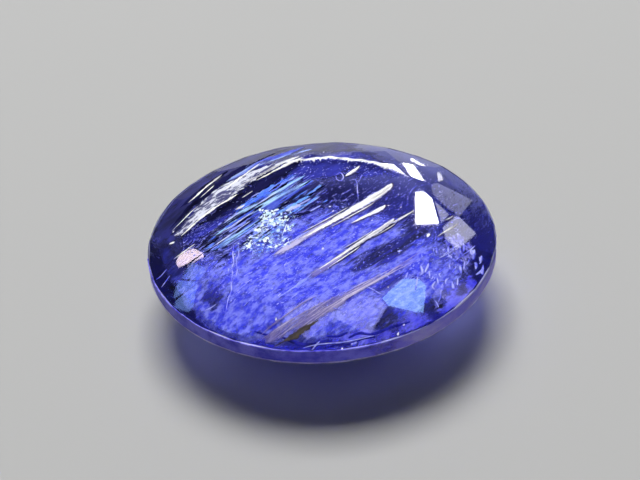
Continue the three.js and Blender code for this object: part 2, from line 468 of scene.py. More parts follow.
# How much of a thin film is there: a mask along the grain, less a loss that grows to Torn at the rim as the
# piece's fade falls to 0, times the share that the film covers.
torn_film, nodes, links, given, put_out = node_group(
    "torn_film", {**GRAIN_INPUTS, "Torn": "Float", "Cover": "Float"}, {"Opacity": "Float"})
patches = add_node(nodes, "Group", along_grain)
fade = add_node(nodes, "Attribute")
fade.attribute_name = "fade"
gain, left, thin = (add_node(nodes, "Math") for _ in range(3))
gain.operation, left.operation, thin.operation = "MULTIPLY_ADD", "SUBTRACT", "MULTIPLY"
left.use_clamp = True
wire(links,
     *((given, socket, patches, socket) for socket in GRAIN_INPUTS),
     (fade, "Fac", gain, 0),
     (given, "Torn", gain, 1),
     (patches, "Mask", gain, 2),
     (gain, "Value", left, 0),
     (given, "Torn", left, 1),
     (left, "Value", thin, 0),
     (given, "Cover", thin, 1),
     (thin, "Value", put_out, "Opacity"))


def film(name, light, dark, scale, stretch, low, high, cover, tones=(0.4, 0.6), torn=2.0):
    """A mineral spread so thin that it shows in patches, a little finer than its tones."""
    material = mineral(name, light, dark, scale, stretch, low=tones[0], high=tones[1])
    nodes = material.node_tree.nodes
    patches = add_node(nodes, "Group", torn_film, Scale=scale * 1.3, Stretch=(stretch, 1, 1), Low=low,
                       High=high, Torn=torn, Cover=cover)
    wire(material.node_tree.links, (patches, "Opacity", nodes["Principled BSDF"], "Alpha"))
    return material


veil = film("tube_veil", (0.62, 0.58, 0.86), (0.2, 0.17, 0.55), scale=2200, stretch=7, low=0.36, high=0.5,
            cover=0.8, tones=(0.42, 0.55))
# Name, seed of the rough edges, low edge and high edge.
VEILS = (
    ("first_veil", 61, ((-2.5, -0.2), (1.0, -0.34)), ((-2.5, 0.06), (1.0, 0.1))),
    ("third_veil", 62, ((-2.4, -1.84), (0.2, -1.8)), ((-2.4, -1.52), (0.2, -1.4))),
)
for name, seed, low, high in VEILS:
    film_piece(name, veil, low[0][0], low[-1][0], low, high, depth=-0.002, thickness=0.006, ragged=0.02,
               seed=seed, tips=(1.0, 1.0))

# --------------------
# The silver band: a healed crack at the left, a torn thin film whose silver is a painted sky reflection.
# It lies on darker plates of graphite, which also show beside it, and pale clay fills the open
# cracks along it.
SILVER_LOW = ((-3.75, 3.08), (-3.0, 3.15), (-2.1, 3.2), (-0.65, 3.34), (0.2, 3.42), (1.9, 3.32))
SILVER_HIGH = ((-3.75, 3.38), (-3.4, 3.52), (-2.7, 3.66), (-1.9, 4.0), (-1.2, 4.1), (-0.3, 3.96),
               (1.9, 3.46))
# Painted reflection: the film's pale silver tone stands in for the sky that the band mirrors.
silver = film("painted_silver_reflection", (0.68, 0.7, 0.82), (0.05, 0.05, 0.17), scale=5200, stretch=2.8, low=0.34,
              high=0.4, cover=1.0, tones=(0.45, 0.52), torn=3.0)
film_piece("silver_band", silver, -3.8, 1.9, SILVER_LOW, SILVER_HIGH, depth=-0.006, thickness=0.008,
           ragged=0.03, seed=5)

DARK_PLATES = (
    (-3.4, 1.7, 2.86, 3.08, 0.42, 0.55),
    (-3.0, 0.3, 4.02, 4.55, 0.55, 0.45),
    (-2.8, -0.3, 4.42, 4.86, 0.34, 0.45),
    (-3.7, -1.6, 3.8, 4.3, 0.2, 0.5),
    (-0.6, 1.6, 4.3, 4.46, 0.16, 0.5),
    (-2.95, 0.1, 2.22, 2.3, 0.1, 0.5),
    (-2.6, 0.15, 1.54, 1.64, 0.08, 0.5),
    (-2.3, -1.5, 1.3, 1.34, 0.06, 0.4),
    (-0.8, 0.25, 1.12, 0.72, 0.2, 0.5),
    (-3.85, -3.4, 3.25, 3.3, 0.14, 0.5),
    (-4.6, -3.66, 1.83, 1.66, 0.07, 0.5),
    (-2.6, -1.3, 3.4, 3.46, 0.07, 0.5),
    (-3.4, -2.5, 3.34, 3.44, 0.06, 0.5),
)
graphite = mineral("graphite", (0.012, 0.012, 0.07), (0.003, 0.003, 0.015), scale=1500, stretch=3, shine=0.0)
ring_piece("dark_plates", blades(DARK_PLATES, thickness=0.012, depth=-0.002, ragged=0.2, seed=8), graphite)

BRIGHT_CRACKS = (
    (-2.45, -0.6, 4.36, 4.84, 0.13, 0.6),
    (-2.05, -1.3, 4.2, 4.36, 0.06, 0.5),
    (-1.3, 0.6, 3.72, 4.1, 0.12, 0.3),
    (-0.9, 1.9, 3.5, 3.42, 0.1, 0.5),
    (-0.2, 1.9, 3.34, 3.22, 0.12, 0.6),
    (-3.72, -2.4, 3.62, 3.82, 0.05, 0.5),
    (-3.7, -1.6, 3.07, 3.24, 0.1, 0.3),
    (-1.9, -1.1, 3.2, 3.22, 0.09, 0.6),
    (-1.1, -0.6, 2.96, 2.98, 0.05, 0.5),
    (-4.5, -3.68, 2.42, 2.26, 0.07, 0.6),
    (-1.65, -1.25, 2.62, 2.6, 0.09, 0.5),
)
ring_piece("bright_cracks", blades(BRIGHT_CRACKS, thickness=0.03, depth=-0.01, ragged=0.3, seed=9), clay)

# --------------------
# Blue films and needles beside the band: sheets of hollow crystals, too fine to tell apart, that
# scatter blue light, and single larger ones among them, pale, lilac, dark or blue.
BLUE_LOW = ((-3.2, 1.35), (-1.0, 1.55), (1.2, 1.9))
BLUE_HIGH = ((-3.2, 2.1), (-1.0, 2.75), (1.2, 2.9))
REAR_BLUE_LOW = ((-0.9, 3.95), (0.6, 3.7), (2.6, 3.6))
REAR_BLUE_HIGH = ((-0.9, 4.3), (0.6, 4.5), (2.6, 4.1))
blue = film("blue_film", (0.4, 0.66, 1.0), (0.04, 0.07, 0.55), scale=2300, stretch=9, low=0.47, high=0.53,
            cover=1.0, tones=(0.44, 0.6), torn=1.5)
rear_blue = film("rear_blue_film", (0.5, 0.66, 1.0), (0.06, 0.09, 0.6), scale=2300, stretch=8, low=0.42,
                 high=0.5, cover=1.0, tones=(0.44, 0.58), torn=1.2)
film_piece("blue_film", blue, -3.2, 1.3, BLUE_LOW, BLUE_HIGH, depth=-0.001, thickness=0.004)
film_piece("rear_blue_film", rear_blue, -0.9, 2.6, REAR_BLUE_LOW, REAR_BLUE_HIGH, depth=-0.001,
           thickness=0.004)

OPEN_STREAKS = (
    (-0.42, 0.16, 1.34, 1.28, 0.22, 0.55),
    (0.1, 0.62, 1.3, 1.26, 0.07, 0.4),
    (-2.4, -1.6, 2.36, 2.42, 0.06, 0.5),
    (-2.8, -1.2, 2.02, 2.12, 0.05, 0.6),
    (-3.6, -1.6, 1.66, 1.82, 0.05, 0.5),
    (-1.4, 0.2, 2.3, 2.36, 0.05, 0.5),
)
PALE_NEEDLES = (
    (-2.3, 0.6, -0.02, -0.12, 0.2, 0.8),
    (-2.0, 0.2, 0.1, 0.02, 0.06, 0.5),
    (-3.2, -1.0, -1.7, -1.62, 0.12, 0.7),
    (-3.85, 0.4, 1.83, 2.12, 0.17, 0.45),
    (-3.4, -0.6, 1.7, 1.86, 0.07, 0.5),
    (-3.95, -2.3, 1.58, 1.66, 0.06, 0.5),
    (-2.3, 0.9, 2.02, 2.1, 0.05, 0.5),
    (-1.0, 0.8, 1.86, 1.95, 0.05, 0.5),
    (-0.3, 0.66, 0.8, 0.76, 0.07, 0.5),
    (-2.9, -1.2, 1.38, 1.46, 0.07, 0.5),
    (-0.4, 0.9, 0.3, 0.2, 0.05, 0.5),
)
BLUE_NEEDLES = (
    (-1.7, 1.0, 2.58, 2.66, 0.28, 0.4),
    (-2.9, -1.0, 2.1, 2.24, 0.12, 0.6),
    (-0.8, 0.9, 2.36, 2.44, 0.1, 0.4),
    (-1.0, 0.8, 1.5, 1.4, 0.16, 0.5),
    (-2.2, -0.8, 0.86, 0.9, 0.14, 0.5),
)


def loose_streaks(seed, count, widest, starts, low, high, drift, length):
    """Rows for blades that start at random along a stretch of the grain, between a low and a high edge
    given there, and drift across it by a share of their length."""
    rng = np.random.default_rng(seed)
    begin = rng.uniform(*starts, count)
    lowest, highest = (np.interp(begin, *zip(*edge)) for edge in (low, high))
    across = lowest + rng.uniform(0, 1, count) * (highest - lowest)
    reach = 0.15 + rng.gamma(2.0, length / 2, count)
    return tuple(zip(begin, begin + reach, across, across + drift * reach,
                     rng.uniform(0.3, 1.0, count) * widest, rng.uniform(0.3, 0.7, count)))


STREAKY = {"starts": (-3.9, 0.9), "low": ((-3.9, 0.9), (0.9, 0.7)),
           "high": ((-3.9, 2.0), (-3.0, 2.6), (0.9, 2.9)), "drift": 0.06, "length": 0.5}
loose_pale = loose_streaks(seed=41, count=26, widest=0.08, **STREAKY)
loose_blue = loose_streaks(seed=42, count=22, widest=0.09, **STREAKY)
loose_dark = loose_streaks(seed=43, count=40, widest=0.1, **STREAKY)
lilac_silk = mineral("lilac_silk", (0.66, 0.7, 0.98), (0.3, 0.32, 0.8), scale=2500, stretch=5)
pale_silk = mineral("pale_silk", WHITE, (0.4, 0.5, 1.0), scale=1500, stretch=4)
blue_silk = mineral("blue_silk", (0.45, 0.92, 1.0), (0.1, 0.25, 0.9), scale=1300, stretch=4)
ring_piece("open_streaks", blades(OPEN_STREAKS, thickness=0.016, depth=-0.006, ragged=0.3, seed=26),
           lilac_silk)
ring_piece("pale_needles",
           blades(PALE_NEEDLES + loose_pale, thickness=0.02, depth=0.02, ragged=0.34, seed=12), pale_silk)
ring_piece("dark_needles", blades(loose_dark, thickness=0.012, depth=-0.003, ragged=0.34, seed=14), graphite)
ring_piece("blue_needles",
           blades(BLUE_NEEDLES + loose_blue, thickness=0.02, depth=0.03, ragged=0.34, seed=13), blue_silk)

# --------------------
# Milky haze: needles too fine to tell apart turn the clear crystal milky in the front and left of
# the stone. The haze is a film of them just under the crown and a coarser one deeper down.
HALF_LONG, HALF_WIDE = 6.0, 5.2


def oval_line(start, end, count, share, side):
    """A line of (along, across) that follows a share of the oval outline, on the side of the grain that
    the sign gives: the root of the quadratic that the oval's equation gives at each distance along."""
    along = np.linspace(start, end, count)
    a = (GRAIN_Y / HALF_LONG) ** 2 + (GRAIN_X / HALF_WIDE) ** 2
    b = along * GRAIN_X * GRAIN_Y * (1 / HALF_WIDE ** 2 - 1 / HALF_LONG ** 2)
    c = (along * GRAIN_X / HALF_LONG) ** 2 + (along * GRAIN_Y / HALF_WIDE) ** 2 - share ** 2
    return list(zip(along, (-b + side * np.sqrt(np.clip(b * b - a * c, 0, None))) / a))


CLOUD_HIGH = ((-5.4, 1.2), (-5.1, 1.9), (-4.2, 2.4), (-3.2, 2.5), (-1.5, 2.6), (-0.3, 2.5), (0.8, 1.5),
              (1.6, 0.5), (2.2, -0.6), (3.0, -1.9), (3.6, -2.8))
CLOUD_LOW = oval_line(-5.4, 3.5, count=30, share=0.965, side=-1)
for name, depth, cover, scale in (("milky_cloud", 0.06, 0.76, 5600), ("deep_cloud", 0.35, 0.8, 1300)):
    thin_film = film(name, (0.62, 0.65, 1.0), (0.1, 0.12, 0.8), scale=scale, stretch=2.2, low=0.26, high=0.48,
                cover=cover, tones=(0.43, 0.58))
    film_piece(name, thin_film, -5.4, 3.5, CLOUD_LOW, CLOUD_HIGH, depth=depth, soft=(10, 2), tips=(0.3, 2.0))

# --------------------
# Dusky places: painted shade in gaps in the haze, where the deep, clear crystal shows darker. Each is
# a thin navy film just above the haze: name, power of its soft rim, length of its tips, low edge, high edge.
DUSKY_FILMS = (
    ("dusky_streaks", 2.5, 0.9, ((-1.2, -2.7), (0.6, -3.2), (2.0, -3.2), (3.6, -2.7)),
     ((-1.2, -1.8), (0.6, -1.72), (2.0, -1.7), (3.6, -1.0))),
    ("dusky_patch", 2.5, 0.5, ((-5.2, -0.9), (-3.9, -0.2)), ((-5.2, 0.7), (-3.9, 1.0))),
    ("dusky_corner", 3.0, 0.4, ((-1.8, -5.0), (-0.4, -4.9)), ((-1.8, -4.3), (-0.9, -4.0), (-0.4, -4.1))),
    ("dusky_gap", 4.0, 0.4, ((-1.1, -3.6), (-0.5, -3.85), (0.75, -3.8)),
     ((-1.1, -3.48), (-0.5, -3.38), (0.75, -3.52))),
    ("dusky_edge", 3.0, 0.3, ((-0.1, -5.25), (0.8, -5.4)), ((-0.1, -4.85), (0.8, -4.75))),
)
# Painted shade: the navy film that darkens these places.
painted_dusk = film("painted_dusk_film", (0.06, 0.06, 0.46), (0.01, 0.01, 0.12), scale=2300, stretch=8, low=0.38, high=0.54,
            cover=0.8)
for name, soft, tip, low, high in DUSKY_FILMS:
    film_piece(name, painted_dusk, low[0][0], low[-1][0], low, high, depth=0.03, soft=(soft, soft), tips=(tip, tip))

# --------------------
# Lilac hazes: a cloud of short crossed needles at the right, and a thin violet one that follows
# the front edge of the crown.
RIGHT_LOW = ((0.0, -5.0), (1.0, -5.3), (2.0, -5.05), (2.8, -4.7), (3.6, -4.1))
RIGHT_HIGH = ((0.0, -4.0), (0.6, -3.9), (1.6, -3.5), (2.6, -3.25), (3.6, -3.1))
right_haze = film("lilac_haze", (0.85, 0.8, 1.0), (0.1, 0.08, 0.6), scale=3200, stretch=0.6, low=0.42,
                  high=0.54, cover=0.8)
film_piece("right_cloud", right_haze, 0.0, 3.6, RIGHT_LOW, RIGHT_HIGH, depth=0.08)

FRONT_LOW, FRONT_HIGH = (oval_line(-3.6, 2.8, count=20, share=share, side=-1) for share in (0.985, 0.88))
front_haze = film("front_haze", (0.5, 0.48, 1.0), (0.1, 0.08, 0.8), scale=1900, stretch=2, low=0.4, high=0.54,
                  cover=0.75)
film_piece("front_haze", front_haze, -3.6, 2.8, FRONT_LOW, FRONT_HIGH, depth=0.05, soft=(20, 2),
           tips=(1.0, 0.6))

# --------------------
# Shaded zones: painted shade, dark films that darken the back of the stone. One film lies under
# the rear facets and a deeper one under the back half of the table.
RIM_LOW, RIM_HIGH = (oval_line(-4.7, 4.4, count=24, share=share, side=1) for share in (0.78, 0.985))
# Painted shade under the rear facets.
painted_rim_shade = film("painted_rim_shade", (0.05, 0.05, 0.22), (0.005, 0.005, 0.05), scale=1300, stretch=4.5, low=0.2,
                 high=0.42, cover=0.9)
film_piece("rim_shade_film", painted_rim_shade, -4.7, 4.4, RIM_LOW, RIM_HIGH, depth=0.06, soft=(2, 16), tips=(0.8, 0.8))

REAR_SHADE_LOW = ((-5.4, 0.6), (-4.0, 1.7), (-3.0, 2.2), (-0.5, 2.4), (1.0, 2.1), (2.4, 1.2), (3.3, 0.2),
             (4.1, -0.5))
REAR_SHADE_HIGH = oval_line(-5.2, 4.1, count=14, share=0.93, side=1)
# Painted shade under the back half of the table.
painted_rear_shade = film("painted_rear_shade_film", (0.12, 0.13, 0.6), (0.008, 0.01, 0.14), scale=1100, stretch=3.5, low=0.24,
             high=0.46, cover=0.85)
film_piece("rear_shade_zone", painted_rear_shade, -5.2, 4.1, REAR_SHADE_LOW, REAR_SHADE_HIGH, depth=0.3, soft=(4, 8))

# --------------------
# Fine silk: thousands of hair-thin needles along the grain, of a mineral that came out of the
# crystal as it cooled. They lie densest in the front and left of the stone.
SILK_NEEDLES = 5000
SILK_TRIES = 6 * SILK_NEEDLES
SILK_REACH = 0.8


def needles(start, across, depth, length, width):
    """Rings of slim four-sided needles with blunt ends, over the middle seven tenths of their length."""
    t = np.array([0.15, 0.85])
    angle = turn_angles(4)
    along = start[:, None, None] + length[:, None, None] * t[:, None] + 0 * angle
    sideways = across[:, None, None] + width[:, None, None] / 2 * np.cos(angle) + 0 * t[:, None]
    down = depth[:, None, None] + width[:, None, None] / 2 * (1 + np.sin(angle)) + 0 * t[:, None]
    return in_crystal(along, sideways, down)


def along_and_across(x, y):
    """Distances along and across the grain of a place in plan."""
    return x * GRAIN_X + y * GRAIN_Y, -x * GRAIN_Y + y * GRAIN_X


def towards_front(x, y, middle, spread):
    """A share that rises from 0 at the back right to 1 at the front left, as a logistic curve."""
    return 1 / (1 + np.exp((y + 0.25 * x - middle) / spread))


rng = np.random.default_rng(11)
x = rng.uniform(-5.4, 5.4, SILK_TRIES)
y = rng.uniform(-4.7, 4.7, SILK_TRIES)
dense = rng.uniform(0, 1, x.size) < 0.1 + 0.9 * towards_front(x, y, middle=0.1, spread=0.7)
kept = (np.hypot(x / HALF_LONG, y / HALF_WIDE) < SILK_REACH) & dense
x, y = x[kept][:SILK_NEEDLES], y[kept][:SILK_NEEDLES]
silk = mineral("silk", WHITE, (0.35, 0.35, 1.0), scale=900, stretch=2)
ring_piece("fine_silk", needles(
    *along_and_across(x, y), rng.uniform(0.02, 0.4, x.size), rng.gamma(2.0, 0.06, x.size),
    rng.uniform(0.01, 0.03, x.size)), silk)

# --------------------
# The brown band: a bundle of rutile silk across the front, pinkish and frayed, with one dark spot
# of iron stain.
BROWN_LOW = ((-4.7, -2.35), (-4.3, -2.75), (-3.6, -3.08), (-2.6, -3.24), (-1.8, -3.36), (-0.2, -3.3))
BROWN_HIGH = ((-4.7, -2.1), (-4.3, -2.14), (-3.4, -2.46), (-2.3, -2.72), (-1.3, -3.0), (-0.2, -3.18))
rutile_film = film("rutile_film", (0.46, 0.4, 0.66), (0.17, 0.14, 0.5), scale=1500, stretch=6, low=0.4,
                   high=0.56, cover=0.75)
film_piece("brown_band", rutile_film, -4.8, 0.1, BROWN_LOW, BROWN_HIGH, depth=-0.003, thickness=0.006,
           ragged=0.03, seed=18)

RUTILE_NEEDLES = (
    (-3.3, 1.2, -2.95, -3.5, 0.05, 0.5),
    (-2.6, 0.4, -3.1, -3.42, 0.04, 0.5),
    (-4.6, -2.2, -2.3, -2.84, 0.05, 0.5),
    (-4.3, -1.9, -2.62, -3.14, 0.04, 0.5),
    (-1.3, 1.1, -3.24, -3.36, 0.04, 0.5),
    (-0.2, 1.6, -3.3, -3.3, 0.04, 0.5),
)
loose_rutile = loose_streaks(seed=44, count=40, widest=0.035, starts=(-4.8, -0.6), low=BROWN_LOW,
                             high=BROWN_HIGH, drift=-0.12, length=0.8)
rutile = mineral("rutile", (0.58, 0.52, 0.72), (0.2, 0.16, 0.42), scale=2000, stretch=4)
ring_piece("rutile_needles",
           blades(RUTILE_NEEDLES + loose_rutile, thickness=0.01, depth=-0.004, ragged=0.3, seed=19), rutile)

IRON_SPOTS = (
    (-4.35, -2.75, -2.82, -3.18, 0.11, 0.5),
    (-3.9, -3.0, -2.98, -3.16, 0.2, 0.5),
    (-4.05, -3.4, -2.92, -3.06, 0.16, 0.4),
)
iron = mineral("iron_stain", (0.1, 0.08, 0.07), (0.01, 0.008, 0.015), scale=2500, stretch=2)
ring_piece("iron_spots", blades(IRON_SPOTS, thickness=0.03, depth=-0.012, ragged=0.4, seed=20), iron)

# --------------------
# Flakes: tiny flat crystals of pale mineral. A cluster of them sparkles left of the middle, on a
# torn film of its own, with the largest at its heart. Single ones lie all through the stone.
FLAKE_THICKNESS = 0.012


def flake_rings(along, across, depth, length, width, rng, thickness=FLAKE_THICKNESS):
    """Rings of flat six-cornered flakes with corners at random distances, each turned a little from the
    grain. The lower ring is four fifths as wide as the upper."""
    n = along.size
    corner = np.arange(6) * math.pi / 3
    reach = rng.uniform(0.55, 1.0, (n, 1, 6)) * np.array([1.0, 0.8])[None, :, None]
    turn = rng.normal(0, 0.5, (n, 1, 1))
    u = length[:, None, None] / 2 * reach * np.cos(corner)
    v = width[:, None, None] / 2 * reach * np.sin(corner)
    down = depth[:, None, None] + np.array([0, thickness])[None, :, None] + 0 * u
    return in_crystal(along[:, None, None] + u * np.cos(turn) - v * np.sin(turn),
                      across[:, None, None] + u * np.sin(turn) + v * np.cos(turn), down)


def flake_crowd(rng, along, across, depths, lengths, widths, thickness=FLAKE_THICKNESS):
    """Rings of flakes at depths drawn evenly between two, with lengths and widths from gamma distributions,
    each given by its shape and scale."""
    n = along.size
    return flake_rings(along, across, rng.uniform(*depths, n), rng.gamma(*lengths, n),
                       rng.gamma(*widths, n), rng, thickness)


def gathered(rng, spots, each, scatter):
    """Places (along, across) gathered about some spots: so many at each, scattered normally."""
    return np.repeat(np.array(spots), each, axis=0) + rng.normal(0, scatter, (each * len(spots), 2))


def over_oval(rng, count, share):
    """Places x, y spread evenly over a share of the oval."""
    angle = rng.uniform(0, 2 * math.pi, count)
    reach = share * np.sqrt(rng.uniform(0, 1, count))
    return HALF_LONG * reach * np.cos(angle), HALF_WIDE * reach * np.sin(angle)


CLUSTER = ((-1.02, 1.75), (-1.1, 1.49), (-1.14, 1.1), (-0.84, 1.04), (-1.36, 1.32), (-1.69, 1.25),
           (-2.2, 1.05), (-2.02, 0.66), (-1.79, 0.3), (-1.42, 0.2), (-2.61, 0.9), (-0.95, 0.6))
CLUSTER_LOW = ((-2.7, 0.25), (-1.6, 0.1), (-0.3, 0.75))
CLUSTER_HIGH = ((-2.7, 1.0), (-1.2, 1.75), (-0.3, 1.8))
sparkling = film("sparkle_film", (0.62, 0.82, 1.0), (0.12, 0.22, 0.95), scale=5200, stretch=1.3, low=0.49,
                 high=0.54, cover=0.9, tones=(0.46, 0.56), torn=0.8)
film_piece("sparkle_film", sparkling, -2.7, -0.3, CLUSTER_LOW, CLUSTER_HIGH, depth=-0.002, thickness=0.005,
           soft=(2, 2), tips=(0.8, 0.8))
rng = np.random.default_rng(23)
centres = gathered(rng, CLUSTER, each=20, scatter=(0.2, 0.1))
sparkle = mineral("sparkle", (0.85, 0.97, 1.0), (0.16, 0.24, 0.95), scale=3500, low=0.44, high=0.54)
ring_piece("sparkle_flakes", flake_crowd(
    rng, *centres.T, depths=(-0.01, -0.004), lengths=(1.6, 0.075), widths=(1.8, 0.042)), sparkle)

HEART = ((-1.02, 1.75), (-1.1, 1.49), (-0.98, 1.6), (-1.14, 1.2), (-0.84, 1.04))
centres = gathered(rng, HEART, each=9, scatter=(0.12, 0.08))
bright = mineral("bright_flake", (0.92, 1.0, 1.0), (0.45, 0.68, 0.95), scale=3500)
ring_piece("bright_flakes", flake_crowd(
    rng, *centres.T, depths=(-0.014, -0.01), lengths=(3.0, 0.06), widths=(3.0, 0.03)), bright)

SCATTERED_FLAKES = 2600
x, y = over_oval(rng, SCATTERED_FLAKES, share=0.8)
violet = mineral("violet_flake", WHITE, (0.25, 0.25, 1.0), scale=1500)
ring_piece("violet_flakes", flake_crowd(
    rng, *along_and_across(x, y), depths=(-0.002, 0.2), lengths=(2.0, 0.035), widths=(2.0, 0.014)), violet)

LIT_FLAKES = 1700
x, y = over_oval(rng, LIT_FLAKES, share=0.78)
kept = rng.uniform(0, 1, LIT_FLAKES) < 0.15 + 0.85 * towards_front(x, y, middle=0.3, spread=0.6)
x, y = x[kept], y[kept]
pale_violet = mineral("pale_violet_flake", (0.5, 0.55, 1.0), (0.12, 0.14, 0.8), scale=2500)
ring_piece("lit_flakes", flake_crowd(
    rng, *along_and_across(x, y), depths=(-0.006, -0.002), lengths=(2.5, 0.03), widths=(2.0, 0.012),
    thickness=0.008), pale_violet)

# Single white specks of clay: along, across and size.
WHITE_DOTS = (
    (1.07, -2.81, 0.1), (-0.29, -3.77, 0.09), (-1.08, -5.1, 0.12), (-2.79, -4.34, 0.1),
    (2.6, -1.24, 0.07), (2.34, -0.88, 0.06), (0.77, 0.23, 0.08), (1.43, -1.05, 0.07),
    (2.31, -2.9, 0.17), (-3.73, -2.2, 0.1), (-0.68, -0.95, 0.13), (-0.73, -5.0, 0.08),
    (-3.69, 3.55, 0.1), (-4.06, 3.12, 0.2),
)
along, across, size = np.array(WHITE_DOTS).T
ring_piece("white_dots", flake_rings(along, across, 0 * size - 0.004, 1.3 * size, 0.8 * size, rng), clay)

# --------------------
# Threads: thin curled tubes and cracks that don't follow the grain. Some end in a hook or a ring.
# A crowd of short ones crosses the right end, and a few dark waves of stain run along the front.
THREAD_STATIONS = 24
THREAD_SIDES = 6
THREAD_THINNING = 0.67


def thread_rings(paths, depth):
    """Rings of round threads, each a width and the (along, across) points that it runs through. A
    Catmull-Rom curve joins the points, and the thread thins to a third at its ends."""
    angle = turn_angles(THREAD_SIDES)
    taper = 1 - THREAD_THINNING * np.abs(np.linspace(-1, 1, THREAD_STATIONS)) ** 3
    rings = []
    for width, points in paths:
        p = np.array(points)
        p = np.concatenate([2 * p[:1] - p[1:2], p, 2 * p[-1:] - p[-2:-1]])
        way = np.linspace(0, len(points) - 1.001, THREAD_STATIONS)
        i = way.astype(int)
        t = (way - i)[:, None]
        a, b, c, d = p[i], p[i + 1], p[i + 2], p[i + 3]
        line = (b + t * (c - a) / 2 + t ** 2 * (a - 2.5 * b + 2 * c - d / 2)
                + t ** 3 * (1.5 * (b - c) + (d - a) / 2))
        step = np.gradient(line, axis=0)
        step /= np.linalg.norm(step, axis=1)[:, None]
        out = (width / 2 * taper)[:, None] * np.cos(angle)
        rings.append(in_crystal(line[:, :1] - step[:, 1:] * out, line[:, 1:] + step[:, :1] * out,
                                depth + (width / 2 * taper)[:, None] * (1 - np.sin(angle))))
    return np.array(rings)


THREADS = (
    (0.06, ((-2.77, 1.24), (-3.02, 0.98), (-3.27, 0.6), (-3.48, 0.44), (-3.62, 0.2), (-3.9, -0.07),
            (-4.08, -0.32), (-4.33, -0.46), (-4.65, -0.73))),
    (0.03, ((-2.66, 1.13), (-2.92, 0.78), (-3.17, 0.6), (-3.4, 0.24), (-3.66, -0.02))),
    (0.04, ((-5.1, -0.14), (-4.93, -0.23), (-4.72, -0.29))),
    (0.04, ((-1.95, -0.6), (-2.13, -0.69), (-2.27, -0.88), (-2.25, -1.03))),
    (0.04, ((-5.35, 2.3), (-5.2, 2.26), (-4.89, 2.3))),
    (0.04, ((-5.45, 1.86), (-5.0, 1.96))),
    (0.04, ((-2.16, -3.2), (-2.09, -3.31), (-1.99, -3.43))),
    (0.06, ((0.91, -3.93), (0.61, -4.17), (0.32, -4.39))),
    (0.06, ((-0.81, -3.26), (-0.72, -3.58), (-0.62, -3.88))),
    (0.05, ((1.28, -4.84), (1.11, -4.8), (0.93, -4.95), (0.74, -5.06))),
    (0.04, ((0.67, -4.91), (0.66, -5.06), (0.62, -5.2))),
    (0.09, ((2.14, -3.51), (1.95, -3.68))),
    (0.09, ((2.51, -3.68), (2.34, -3.85))),
    (0.06, ((2.67, -3.75), (2.5, -3.9))),
    (0.06, ((1.91, -4.75), (1.71, -4.93))),
    (0.07, ((2.59, -4.38), (2.34, -4.59))),
    (0.07, ((3.2, -4.15), (3.05, -4.3))),
    (0.04, ((2.28, -4.22), (3.05, -4.12), (3.4, -4.05))),
    (0.04, ((1.6, -3.84), (2.15, -3.88), (2.62, -3.87))),
    (0.05, ((2.06, 1.58), (2.27, 1.6), (2.22, 1.35), (2.02, 1.25), (1.95, 1.39), (2.04, 1.52))),
    (0.04, ((2.25, 1.03), (2.41, 0.95), (2.32, 0.74), (2.05, 0.41), (1.81, 0.09))),
    (0.03, ((2.76, 0.98), (2.54, 0.83), (2.32, 0.74))),
    (0.04, ((3.23, -0.97), (3.5, -0.83), (3.77, -0.8))),
    (0.04, ((1.82, -1.54), (1.98, -1.47), (2.1, -1.58), (1.96, -1.68), (1.82, -1.58))),
    (0.04, ((-3.71, -3.5), (-3.23, -3.77), (-2.58, -4.24), (-1.74, -4.68))),
    (0.05, ((-3.54, -3.74), (-3.34, -3.71), (-3.16, -3.7))),
    (0.05, ((-0.04, -3.3), (0.02, -3.4), (-0.02, -3.52))),
    (0.07, ((0.62, -3.73), (0.52, -3.78), (0.41, -3.87))),
    (0.11, ((-2.48, -4.42), (-2.38, -4.46), (-2.29, -4.48))),
)
CROWD_LOW, CROWD_HIGH = (1.1, -4.9), (3.3, -3.5)
CROWD_THREADS = 28
CROWD_STEP = np.array((0.17, 0.15))
rng = np.random.default_rng(51)
crowd = []
for begin in rng.uniform(CROWD_LOW, CROWD_HIGH, (CROWD_THREADS, 2)):
    reach = (CROWD_STEP + rng.normal(0, 0.05, 2)) * rng.uniform(0.5, 2.2)
    middle = begin - reach / 2 + rng.normal(0, 0.04, 2)
    crowd.append((rng.uniform(0.03, 0.11), (begin, middle, begin - reach)))
violet_silk = mineral("violet_silk", (0.6, 0.62, 1.0), (0.14, 0.15, 0.85), scale=3000, low=0.42, high=0.58)
ring_piece("threads", thread_rings(THREADS + tuple(crowd), depth=-0.01), violet_silk)

DARK_WAVES = (
    (0.14, ((-3.95, -2.75), (-3.7, -3.25), (-3.47, -3.56), (-3.15, -3.72), (-2.9, -3.95))),
    (0.1, ((-3.1, -4.0), (-2.8, -4.12), (-2.52, -4.36), (-2.1, -4.48), (-1.7, -4.72))),
    (0.12, ((-2.4, -4.2), (-2.05, -4.3), (-1.7, -4.6), (-1.14, -4.78), (-0.49, -5.02))),
    (0.08, ((-2.9, -3.7), (-2.6, -3.95), (-2.3, -4.05))),
    (0.07, ((-4.45, -1.95), (-4.2, -2.4), (-4.05, -2.7))),
)
navy = mineral("navy_stain", (0.05, 0.05, 0.45), (0.01, 0.01, 0.15), scale=2500, shine=0.0)
ring_piece("dark_waves", thread_rings(DARK_WAVES, depth=0.02), navy)

